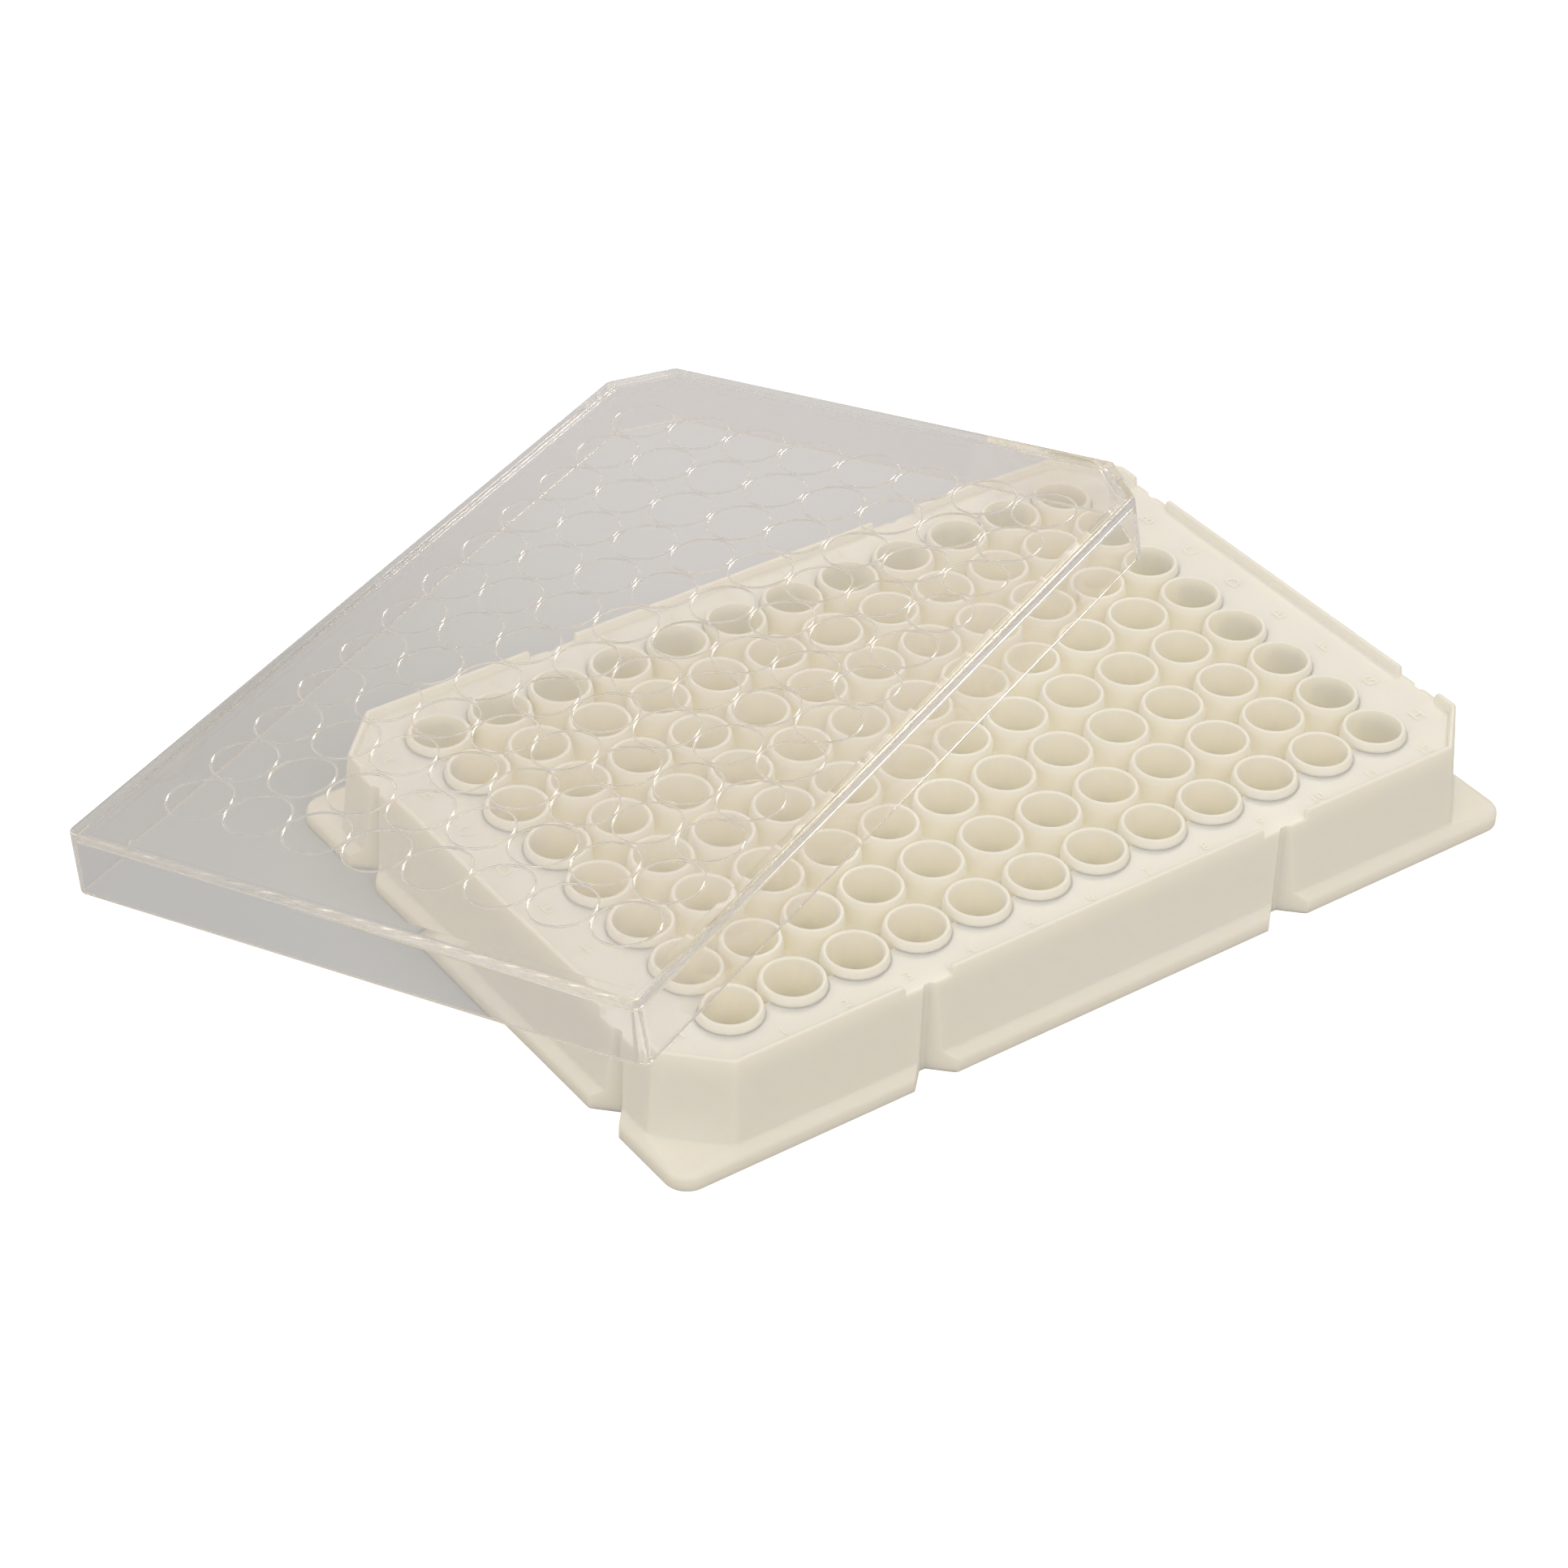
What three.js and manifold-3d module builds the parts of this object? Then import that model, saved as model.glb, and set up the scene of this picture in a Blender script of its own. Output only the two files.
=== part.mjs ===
// A 96-well microplate with its loose lid lying askew on top, in millimetres, +Z up.
//
// The plate is one ivory-white moulding: a flange, a tapered outer wall with a lip round
// its top, a narrow deck inside the lip, and eight rows of twelve wells. A thin web below
// the rims joins the wells. The frame and each row of wells are separate meshes that meet
// face to face. The lid is one clear moulding: a flat panel with a skirt. It rests on
// three points of the plate.
import * as THREE from 'three';
import { mergeVertices } from 'three/addons/utils/BufferGeometryUtils.js';
import Module from 'manifold-3d';

// Wells.
const COLUMNS = 12;
const ROW_NAMES = ['H', 'G', 'F', 'E', 'D', 'C', 'B', 'A'];
const WELL_PITCH = 9.0;
const FIRST_WELL_X = 14.38;
const FIRST_WELL_Y = 11.24;
const WELL_RADIUS_TOP = 3.45;
const WELL_RADIUS_BOTTOM = 3.2;
const WELL_DEPTH = 10.9;
const WELL_WALL = 0.75;
const WELL_FLOOR = 1.2;
const WELL_SIDES = 12;
const WEB_DEPTH = 4.5;
const WEB_THICKNESS = 1.0;

// Plate, outside.
const PLATE_HEIGHT = 14.35;
const FLANGE_HEIGHT = 2.8;
const FLANGE_CORNER_RADIUS = 3.0;
const FLANGE_LEDGE = 1.4;
const WALL_TAPER = 0.95;
const WALL_CHAMFER = 7.3;
const WALL_THICKNESS = 1.3;

// Plate, top.
const DECK_DEPTH = 1.2;
const DECK_THICKNESS = 1.2;
const LIP_THICKNESS = 0.7;
const LIP_GAP = 7.2;
const DECK_FINGER_END = 1.2;

// Notches down the outside, two on each side of the plate.
const NOTCH_DEPTH = 2.8;
const NOTCH_BASE = 0.8;
const NOTCH_OFFSET_LONG = 27.3;
const NOTCH_OFFSET_SHORT = 26.95;
const NOTCH_BACKING = 1.3;

// Lid.
const LID_CLEARANCE = 0.3;
const LID_WALL = 1.0;
const LID_PANEL = 1.2;
const LID_HEIGHT = 9.0;
const LID_TAPER = 0.3;
const LID_EDGE_BEVEL = 0.4;
const LID_BAND_WIDTH = 2.0;
const LID_BAND_HEIGHT = 0.4;
const LID_CHAMFER = 7.2;
const LID_CORNER_RADIUS = 1.5;

// How the lid lies: the turn about the vertical, and where the outer near-left corner of
// its skirt stands, measured from the front-left corner of the plate.
const LID_TURN = THREE.MathUtils.degToRad(22.7);
const LID_CORNER_X = -0.15;
const LID_CORNER_Y = 6.75;
const REST_GAP = 0.3;

const ARC_STEPS = 4;
const CUT_MARGIN = 2.0;
const ROWS = ROW_NAMES.length;
const PLATE_LENGTH = (COLUMNS - 1) * WELL_PITCH + 2 * FIRST_WELL_X;
const PLATE_WIDTH = (ROWS - 1) * WELL_PITCH + 2 * FIRST_WELL_Y;
const TOP_WALL_INSET = FLANGE_LEDGE + WALL_TAPER;
const DECK_HEIGHT = PLATE_HEIGHT - DECK_DEPTH;
const WEB_TOP = PLATE_HEIGHT - WEB_DEPTH;
const WELL_RADIUS_OUTSIDE = WELL_RADIUS_TOP + WELL_WALL;

const wasm = await Module();
wasm.setup();

// ---------------------------------------------------------------- solids and meshes

function toSolid(geometry) {
  const bare = geometry.clone();
  bare.deleteAttribute('normal');
  bare.deleteAttribute('uv');
  const merged = mergeVertices(bare, 1e-5);
  return new wasm.Manifold(new wasm.Mesh({
    numProp: 3,
    vertProperties: new Float32Array(merged.attributes.position.array),
    triVerts: new Uint32Array(merged.index.array),
  }));
}

function toGeometry(solid) {
  const mesh = solid.getMesh();
  const geometry = new THREE.BufferGeometry();
  geometry.setAttribute('position', new THREE.BufferAttribute(mesh.vertProperties, 3));
  geometry.setIndex(new THREE.BufferAttribute(mesh.triVerts, 1));
  const flat = geometry.toNonIndexed();
  flat.computeVertexNormals();
  return flat;
}

function boxSolid(length, width, height, x, y, z) {
  const geometry = new THREE.BoxGeometry(length, width, height);
  geometry.translate(x, y, z + height / 2);
  return toSolid(geometry);
}

// A prism with its outline in the XY plane, standing from z = bottom to z = top.
function prismSolid(shape, bottom, top) {
  const settings = { depth: top - bottom, bevelEnabled: false, curveSegments: ARC_STEPS };
  const geometry = new THREE.ExtrudeGeometry(shape, settings);
  geometry.translate(0, 0, bottom);
  return toSolid(geometry);
}

// ------------------------------------------------------------------------- outlines

// The points round a rectangle centred on the origin, counter-clockwise from the
// front-left corner. Each corner is a chamfer with a leg or a round with a radius. The
// inset moves every side inwards, and chamfers and rounds follow it.
function outline(length, width, corners, inset) {
  const places = [[-1, -1], [1, -1], [1, 1], [-1, 1]];
  const points = [];
  corners.forEach((corner, index) => {
    const [signX, signY] = places[index];
    const cornerX = signX * (length / 2 - inset);
    const cornerY = signY * (width / 2 - inset);
    if (corner.leg) {
      const leg = corner.leg - (2 - Math.SQRT2) * inset;
      const alongX = new THREE.Vector2(cornerX - signX * leg, cornerY);
      const alongY = new THREE.Vector2(cornerX, cornerY - signY * leg);
      points.push(...(signX === signY ? [alongY, alongX] : [alongX, alongY]));
    } else {
      const radius = Math.max(corner.radius - inset, 0.2);
      const start = Math.PI + index * Math.PI / 2;
      for (let step = 0; step <= ARC_STEPS; step += 1) {
        const angle = start + (step / ARC_STEPS) * Math.PI / 2;
        points.push(new THREE.Vector2(
          cornerX - signX * radius + radius * Math.cos(angle),
          cornerY - signY * radius + radius * Math.sin(angle),
        ));
      }
    }
  });
  return points;
}

// A solid through convex outlines with the same number of points, one above another.
function stackedSolid(levels) {
  const count = levels[0].points.length;
  const positions = levels.flatMap(({ points, z }) => points.flatMap((p) => [p.x, p.y, z]));
  const triangles = [];
  const last = (levels.length - 1) * count;
  for (let i = 1; i < count - 1; i += 1) {
    triangles.push(0, i + 1, i);
    triangles.push(last, last + i, last + i + 1);
  }
  for (let level = 0; level < levels.length - 1; level += 1) {
    for (let i = 0; i < count; i += 1) {
      const next = (i + 1) % count;
      const low = level * count;
      const high = low + count;
      triangles.push(low + i, low + next, high + next);
      triangles.push(low + i, high + next, high + i);
    }
  }
  const geometry = new THREE.BufferGeometry();
  geometry.setAttribute('position', new THREE.Float32BufferAttribute(positions, 3));
  geometry.setIndex(triangles);
  return toSolid(geometry);
}

// ---------------------------------------------------------------------------- wells

function wellX(column) {
  return (column - (COLUMNS - 1) / 2) * WELL_PITCH;
}

function wellY(row) {
  return (row - (ROWS - 1) / 2) * WELL_PITCH;
}

function turnedSolid(profile) {
  const points = profile.map(([radius, height]) => new THREE.Vector2(radius, height));
  const geometry = new THREE.LatheGeometry(points, WELL_SIDES);
  geometry.rotateX(Math.PI / 2);
  return toSolid(geometry);
}

const wellFloorTop = PLATE_HEIGHT - WELL_DEPTH;
const wellBottom = wellFloorTop - WELL_FLOOR;

const wellTube = turnedSolid([
  [0, wellBottom],
  [WELL_RADIUS_OUTSIDE, wellBottom],
  [WELL_RADIUS_OUTSIDE, PLATE_HEIGHT],
  [0, PLATE_HEIGHT],
]);

// The bore tapers from the rim to the floor, and the cut runs on past the rim.
const boreTaper = (WELL_RADIUS_TOP - WELL_RADIUS_BOTTOM) / WELL_DEPTH;
const wellBore = turnedSolid([
  [0, wellFloorTop],
  [WELL_RADIUS_BOTTOM, wellFloorTop],
  [WELL_RADIUS_TOP + boreTaper * CUT_MARGIN, PLATE_HEIGHT + CUT_MARGIN],
  [0, PLATE_HEIGHT + CUT_MARGIN],
]);

// Twelve wells joined by one strip of web. Neighbouring rows meet half-way between their
// wells, so walls that are thick enough to touch end there.
function wellRowSolid(row) {
  const y = wellY(row);
  const places = Array.from({ length: COLUMNS }, (_, column) => [wellX(column), y, 0]);
  const webBottom = WEB_TOP - WEB_THICKNESS;
  let solid = boxSolid(COLUMNS * WELL_PITCH, WELL_PITCH, WEB_THICKNESS, 0, y, webBottom);
  for (const place of places) {
    solid = solid.add(wellTube.translate(place));
  }
  for (const place of places) {
    solid = solid.subtract(wellBore.translate(place));
  }
  const front = row === 0 ? -PLATE_WIDTH : y - WELL_PITCH / 2;
  const back = row === ROWS - 1 ? PLATE_WIDTH : y + WELL_PITCH / 2;
  const room = boxSolid(PLATE_LENGTH, back - front, PLATE_HEIGHT, 0, (front + back) / 2, 0);
  return solid.intersect(room);
}

// ---------------------------------------------------------------------- plate frame

const roundCorners = Array(4).fill({ radius: FLANGE_CORNER_RADIUS });
const chamferedCorners = Array(4).fill({ leg: WALL_CHAMFER + (2 - Math.SQRT2) * FLANGE_LEDGE });

function wallLevel(z, extraInset) {
  const rise = (z - FLANGE_HEIGHT) / (PLATE_HEIGHT - FLANGE_HEIGHT);
  const inset = FLANGE_LEDGE + WALL_TAPER * rise + extraInset;
  return { z, points: outline(PLATE_LENGTH, PLATE_WIDTH, chamferedCorners, inset) };
}

// Where each notch stands, and the turn that points its opening away from the plate.
function notchPlaces() {
  const places = [];
  for (const side of [-1, 1]) {
    const turnLong = side < 0 ? 0 : Math.PI;
    const turnShort = side < 0 ? -Math.PI / 2 : Math.PI / 2;
    for (const hand of [-1, 1]) {
      const y = side * PLATE_WIDTH / 2;
      const x = side * PLATE_LENGTH / 2;
      places.push({ x: hand * NOTCH_OFFSET_LONG, y, turn: turnLong });
      places.push({ x, y: hand * NOTCH_OFFSET_SHORT, turn: turnShort });
    }
  }
  return places;
}

// A V with a flat base and 45 degree sides, open towards -Y, deeper by extra all round.
function notchSolid(place, extra, bottom, top) {
  const depth = NOTCH_DEPTH + extra;
  const halfBase = NOTCH_BASE / 2 + extra * (Math.SQRT2 - 1);
  const reach = CUT_MARGIN;
  const shape = new THREE.Shape([
    new THREE.Vector2(-halfBase - depth - reach, -reach),
    new THREE.Vector2(halfBase + depth + reach, -reach),
    new THREE.Vector2(halfBase, depth),
    new THREE.Vector2(-halfBase, depth),
  ]);
  const degrees = THREE.MathUtils.radToDeg(place.turn);
  return prismSolid(shape, bottom, top).rotate([0, 0, degrees]).translate([place.x, place.y, 0]);
}

function lipGapSolid(place) {
  const reach = TOP_WALL_INSET + LIP_THICKNESS + CUT_MARGIN;
  const block = boxSolid(LIP_GAP, reach, DECK_DEPTH + CUT_MARGIN, 0, reach / 2, DECK_HEIGHT);
  const degrees = THREE.MathUtils.radToDeg(place.turn);
  return block.rotate([0, 0, degrees]).translate([place.x, place.y, 0]);
}

function plateFrameSolid() {
  const flangeShape = new THREE.Shape(outline(PLATE_LENGTH, PLATE_WIDTH, roundCorners, 0));
  const flange = prismSolid(flangeShape, 0, FLANGE_HEIGHT);
  const wall = stackedSolid([wallLevel(0, 0), wallLevel(PLATE_HEIGHT, 0)]);
  const hollowTop = DECK_HEIGHT - DECK_THICKNESS;
  const hollow = stackedSolid([
    wallLevel(-CUT_MARGIN, WALL_THICKNESS),
    wallLevel(hollowTop, WALL_THICKNESS),
  ]);
  let solid = flange.add(wall).subtract(hollow);

  // Inside each notch the wall follows the V inwards, so it stays as thick there.
  for (const place of notchPlaces()) {
    solid = solid.add(notchSolid(place, NOTCH_BACKING, 0, PLATE_HEIGHT).intersect(wall));
  }

  const deckRecess = stackedSolid([
    wallLevel(DECK_HEIGHT, LIP_THICKNESS),
    wallLevel(PLATE_HEIGHT + CUT_MARGIN, LIP_THICKNESS),
  ]);
  solid = solid.subtract(deckRecess);

  // The deck is open over the wells. Between edge wells it ends in short fingers.
  const fieldLength = (COLUMNS - 1) * WELL_PITCH + 2 * DECK_FINGER_END;
  const fieldWidth = (ROWS - 1) * WELL_PITCH + 2 * DECK_FINGER_END;
  const fieldHeight = PLATE_HEIGHT + 2 * CUT_MARGIN;
  solid = solid.subtract(boxSolid(fieldLength, fieldWidth, fieldHeight, 0, 0, -CUT_MARGIN));
  for (let row = 0; row < ROWS; row += 1) {
    for (let column = 0; column < COLUMNS; column += 1) {
      const onEdge = row === 0 || row === ROWS - 1 || column === 0 || column === COLUMNS - 1;
      if (onEdge) {
        solid = solid.subtract(wellTube.translate([wellX(column), wellY(row), 0]));
      }
    }
  }

  for (const place of notchPlaces()) {
    solid = solid.subtract(notchSolid(place, 0, -CUT_MARGIN, PLATE_HEIGHT + CUT_MARGIN));
    solid = solid.subtract(lipGapSolid(place));
  }
  return solid;
}

// ------------------------------------------------------------------------------ lid

// The lid goes over the plate's lip with a clearance, so its size follows the plate's.
const lidInset = TOP_WALL_INSET - LID_CLEARANCE - LID_WALL - LID_TAPER;
const lidLength = PLATE_LENGTH - 2 * lidInset;
const lidWidth = PLATE_WIDTH - 2 * lidInset;
const lidRound = { radius: LID_CORNER_RADIUS };
const lidChamfer = { leg: LID_CHAMFER };
const lidCorners = [lidRound, lidChamfer, lidChamfer, lidRound];

// The lid's own frame: the skirt's lower edge is at z = 0 and its outline is centred.
function lidLevel(z, extraInset) {
  const inset = LID_TAPER * (z / LID_HEIGHT) + extraInset;
  return { z, points: outline(lidLength, lidWidth, lidCorners, inset) };
}

function lidSolid() {
  const shell = stackedSolid([
    lidLevel(0, 0),
    lidLevel(LID_HEIGHT - LID_EDGE_BEVEL, 0),
    lidLevel(LID_HEIGHT, LID_EDGE_BEVEL),
  ]);
  const panelTop = LID_HEIGHT - LID_BAND_HEIGHT;
  const hollow = stackedSolid([
    lidLevel(-CUT_MARGIN, LID_WALL),
    lidLevel(panelTop - LID_PANEL, LID_WALL),
  ]);
  const panelRecess = stackedSolid([
    lidLevel(panelTop, LID_BAND_WIDTH),
    lidLevel(LID_HEIGHT + CUT_MARGIN, LID_BAND_WIDTH),
  ]);
  return shell.subtract(hollow).subtract(panelRecess);
}

// The plane of the skirt's lower edge is z = slopeX x + slopeY y + level. It is found
// from the three points that carry the lid: the underside of the panel on the back-left
// of the lip, and the skirt on the back of the lip and on its front-left chamfer. Each
// point depends a little on the tilt, so a few rounds settle it.
function restingPlacement() {
  const halfLength = PLATE_LENGTH / 2;
  const halfWidth = PLATE_WIDTH / 2;
  const lipBack = halfWidth - TOP_WALL_INSET;
  const lipLeft = -(halfLength - TOP_WALL_INSET);
  const lipLeg = WALL_CHAMFER - (2 - Math.SQRT2) * WALL_TAPER;
  const chamferSum = lipLeft - lipBack + lipLeg;
  const corner = new THREE.Vector3(LID_CORNER_X - halfLength, LID_CORNER_Y - halfWidth, 0);
  const panelUnderside = LID_HEIGHT - LID_BAND_HEIGHT - LID_PANEL;
  const heading = new THREE.Vector3(Math.cos(LID_TURN), Math.sin(LID_TURN), 0);
  const plane = new THREE.Plane(new THREE.Vector3(0, 0, 1), 0);
  let along;
  let across;
  for (let round = 0; round < 12; round += 1) {
    along = heading.clone().projectOnPlane(plane.normal).normalize();
    across = plane.normal.clone().cross(along);
    const farEnd = along.clone().multiplyScalar(lidLength - LID_WALL);
    const toBack = (lipBack - corner.y - farEnd.y) / across.y;
    const onBack = corner.clone().add(farEnd).addScaledVector(across, toBack);
    const inside = corner.clone().addScaledVector(across, LID_WALL);
    const toChamfer = (chamferSum - inside.x - inside.y) / (along.x + along.y);
    const onChamfer = inside.addScaledVector(along, toChamfer);
    const underPanel = new THREE.Vector3(lipLeft + lipLeg, lipBack, 0);
    onBack.z = PLATE_HEIGHT + REST_GAP;
    onChamfer.z = PLATE_HEIGHT + REST_GAP;
    underPanel.z = PLATE_HEIGHT + REST_GAP - panelUnderside / plane.normal.z;
    plane.setFromCoplanarPoints(onChamfer, onBack, underPanel);
    corner.z = -(plane.constant + plane.normal.x * corner.x + plane.normal.y * corner.y)
      / plane.normal.z;
  }
  const matrix = new THREE.Matrix4().makeBasis(along, across, plane.normal);
  const centre = new THREE.Vector3(lidLength / 2, lidWidth / 2, 0).applyMatrix4(matrix);
  return { matrix, position: centre.add(corner) };
}

// ------------------------------------------------------------------------- assembly

const ivory = { color: 0xe9e3d4, roughness: 0.45, metalness: 0.0 };
const clear = { color: 0xe6ebee, roughness: 0.05, metalness: 0.0, transparent: true, opacity: 0.35 };

function namedMesh(name, solid, finish) {
  const mesh = new THREE.Mesh(toGeometry(solid), new THREE.MeshStandardMaterial(finish));
  mesh.name = name;
  return mesh;
}

const group = new THREE.Group();
group.add(namedMesh('plate_frame', plateFrameSolid(), ivory));
ROW_NAMES.forEach((letter, row) => {
  group.add(namedMesh(`well_row_${letter}`, wellRowSolid(row), ivory));
});

const lidGroup = new THREE.Group();
const placement = restingPlacement();
lidGroup.quaternion.setFromRotationMatrix(placement.matrix);
lidGroup.position.copy(placement.position);
lidGroup.add(namedMesh('lid', lidSolid(), clear));
group.add(lidGroup);

// The origin is under the middle of the whole object, lid included.
const assembly = new THREE.Group();
assembly.add(group);
assembly.updateMatrixWorld(true);
const bounds = new THREE.Box3().setFromObject(assembly, true);
const middle = bounds.getCenter(new THREE.Vector3());
group.position.set(-middle.x, -middle.y, -bounds.min.z);
assembly.updateMatrixWorld(true);

export default assembly;
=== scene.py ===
# %% [markdown]
# # A 96-well microplate with its clear lid lying askew on top
#
# The object has two loose pieces. The plate is one ivory-white polystyrene moulding with
# eight rows of twelve wells. The lid is one crystal-clear moulding. In this lesson the
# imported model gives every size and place, and new meshes with rounded edges stand for
# its faceted nodes.

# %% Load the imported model
import math
import bmesh
import bpy
from mathutils import Matrix, Vector


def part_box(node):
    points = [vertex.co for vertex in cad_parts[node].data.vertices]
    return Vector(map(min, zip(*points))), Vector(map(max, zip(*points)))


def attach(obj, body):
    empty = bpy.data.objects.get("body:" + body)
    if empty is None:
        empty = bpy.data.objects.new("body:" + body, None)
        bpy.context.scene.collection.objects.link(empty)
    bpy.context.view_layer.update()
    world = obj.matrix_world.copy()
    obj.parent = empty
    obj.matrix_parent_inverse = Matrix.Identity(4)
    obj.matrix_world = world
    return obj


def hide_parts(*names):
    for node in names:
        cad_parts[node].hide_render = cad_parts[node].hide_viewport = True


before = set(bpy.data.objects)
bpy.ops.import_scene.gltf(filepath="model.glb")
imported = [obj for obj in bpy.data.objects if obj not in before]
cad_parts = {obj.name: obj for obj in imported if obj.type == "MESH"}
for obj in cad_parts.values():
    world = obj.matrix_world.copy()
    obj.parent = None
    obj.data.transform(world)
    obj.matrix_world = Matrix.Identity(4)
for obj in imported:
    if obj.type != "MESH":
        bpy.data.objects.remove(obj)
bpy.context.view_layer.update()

print("nodes:", sorted(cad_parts))

# %% [markdown]
# ## Measures
#
# A moulding like this is drawn in millimetres, so the lesson works in millimetres too and
# turns to metres when a mesh is handed to Blender. The footprint comes from the packed
# frame. The other numbers repeat the part's own drawing.

# %% Measures of the plate
MM = 0.001
plate_low, plate_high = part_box("plate_frame")
PLATE_LENGTH = (plate_high.x - plate_low.x) / MM
PLATE_WIDTH = (plate_high.y - plate_low.y) / MM
PLATE_HEIGHT = plate_high.z / MM
plate_middle = (plate_low + plate_high) / 2
TO_PLATE = Matrix.Translation((plate_middle.x, plate_middle.y, 0)) @ Matrix.Scale(MM, 4)

COLUMNS = 12
ROWS = 8
PITCH = 9.0
DECK_DEPTH = 1.2
DECK_THICKNESS = 1.2
DECK_HEIGHT = PLATE_HEIGHT - DECK_DEPTH
FLANGE_HEIGHT = 2.8
FLANGE_RADIUS = 3.0
FLANGE_LEDGE = 1.4
WALL_TAPER = 0.95
WALL_CHAMFER = 7.3
WALL_THICKNESS = 1.3
LIP_THICKNESS = 0.7
SLANT = 2 - math.sqrt(2)
print("plate, mm:", round(PLATE_LENGTH, 2), round(PLATE_WIDTH, 2), round(PLATE_HEIGHT, 2))

# %% [markdown]
# ## Turning loops into a moulding
#
# Every wall of the plate and of the lid is a closed outline that is repeated, level after
# level, up, over and down again. A mould maker would mill the cavity the same way. The
# loops all hold the same number of points, so neighbouring loops join with plain quads
# and the edges can be rounded with a few extra loops. Booleans and a bevel modifier would
# also work, but they leave thin slivers where the notches meet the rounded edges.

# %% Helpers that join loops
JOIN_DISTANCE = 1e-4


def add_loop(bm, points):
    return [bm.verts.new(point) for point in points]


def join_loops(bm, first, second):
    """Quads between two loops. Seen from outside, the second loop lies above the first."""
    count = len(first)
    for i in range(count):
        j = (i + 1) % count
        bm.faces.new((first[i], first[j], second[j], second[i]))


def join_all(bm, loops):
    for first, second in zip(loops, loops[1:]):
        join_loops(bm, first, second)


def fill_between(bm, outer, inner):
    """Flat triangles between an outline and the hole inside it."""
    edges = []
    for loop in (outer, inner):
        for i, vert in enumerate(loop):
            other = loop[(i + 1) % len(loop)]
            edge = bm.edges.get((vert, other)) or bm.edges.new((vert, other))
            edges.append(edge)
    bmesh.ops.triangle_fill(bm, edges=edges, use_beauty=True)


def finish_mesh(bm, name, place, smooth_angle=50.0):
    """The mesh in the frame's metres, closed, facing outwards and smooth over its rounds."""
    bmesh.ops.recalc_face_normals(bm, faces=bm.faces)
    open_edges = sum(1 for edge in bm.edges if not edge.is_manifold)
    bm.transform(place)
    mesh = bpy.data.meshes.new(name)
    bm.to_mesh(mesh)
    bm.free()
    mesh.shade_smooth()
    mesh.set_sharp_from_angle(angle=math.radians(smooth_angle))
    piece = bpy.data.objects.new(name, mesh)
    bpy.context.scene.collection.objects.link(piece)
    even = piece.modifiers.new("flat_faces_stay_flat", "WEIGHTED_NORMAL")
    even.weight = 100
    even.keep_sharp = True
    print(name, "faces:", len(mesh.polygons), "open edges:", open_edges)
    return piece

# %% [markdown]
# ## The outline of the plate
#
# Seen from above the plate has four corners and eight notches. The flange has round
# corners and the wall has chamfered ones, so each corner gets ten points that can lie on
# either. A notch is a V with a flat base. On either side of it the lip stops short, which
# needs four more points where the lip's height can change.

# %% Corners
CORNER_POINTS = 10
CORNER_SIGNS = [(-1, -1), (1, -1), (1, 1), (-1, 1)]


def round_corner(length, width, index, inset, radius):
    sign_x, sign_y = CORNER_SIGNS[index]
    own = max(radius - inset, 0.2)
    middle_x = sign_x * (length / 2 - inset - own)
    middle_y = sign_y * (width / 2 - inset - own)
    start = math.pi + index * math.pi / 2
    points = []
    for step in range(CORNER_POINTS):
        angle = start + step / (CORNER_POINTS - 1) * math.pi / 2
        points.append((middle_x + own * math.cos(angle), middle_y + own * math.sin(angle)))
    return points


def soft_bend(before, vertex, after, reach, count):
    """Points on an arc that softens the bend at a vertex, from before to after."""
    vertex = Vector(vertex)
    start = vertex + (Vector(before) - vertex).normalized() * reach
    end = vertex + (Vector(after) - vertex).normalized() * reach
    points = []
    for step in range(count):
        t = step / (count - 1)
        point = start * (1 - t) ** 2 + vertex * 2 * t * (1 - t) + end * t * t
        points.append((point.x, point.y))
    return points


def chamfer_corner(length, width, index, inset, leg, reach=0.35):
    sign_x, sign_y = CORNER_SIGNS[index]
    corner = (sign_x * (length / 2 - inset), sign_y * (width / 2 - inset))
    own = leg - SLANT * inset
    along_x = (corner[0] - sign_x * own, corner[1])
    along_y = (corner[0], corner[1] - sign_y * own)
    far_x = (corner[0] - sign_x * 2 * own, corner[1])
    far_y = (corner[0], corner[1] - sign_y * 2 * own)
    half = CORNER_POINTS // 2
    if sign_x == sign_y:
        first = soft_bend(far_y, along_y, along_x, reach, half)
        second = soft_bend(along_y, along_x, far_x, reach, half)
    else:
        first = soft_bend(far_x, along_x, along_y, reach, half)
        second = soft_bend(along_x, along_y, far_y, reach, half)
    return first + second

# %% Notches
NOTCH_DEPTH = 2.8
NOTCH_BASE = 0.8
NOTCH_BACKING = 1.3
NOTCH_LONG = 27.3
NOTCH_SHORT = 26.95
LIP_GAP = 7.2
NOTCH_EDGE = 0.16
LIP_END_STEPS = ((-0.10, 0.0), (-0.07, 0.84), (0.0, 0.95), (0.13, 1.0))


def notch_points(inset, depth, base):
    """Along the side, in from the footprint and share of the lip's height, at one notch."""
    open_depth = max(depth - inset, 0.15)
    mouth = base / 2 + open_depth
    reach = min(NOTCH_EDGE, 0.4 * open_depth)
    deep = max(depth, inset)
    rising = 1.0 if depth > inset else 0.0
    half = [
        (mouth + reach, inset, 0.0),
        (mouth + 0.08 * reach, inset + 0.19 * reach * rising, 0.0),
        (mouth - 0.7 * reach, inset + 0.7 * reach * rising, 0.0),
        (base / 2, deep if rising else inset, 0.0),
    ]
    for along, share in LIP_END_STEPS:
        half.insert(0, (LIP_GAP / 2 + along, inset, share))
    right = [(s, d, h) for s, d, h in reversed(half)]
    left = [(-s, d, h) for s, d, h in half]
    return left + right


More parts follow.
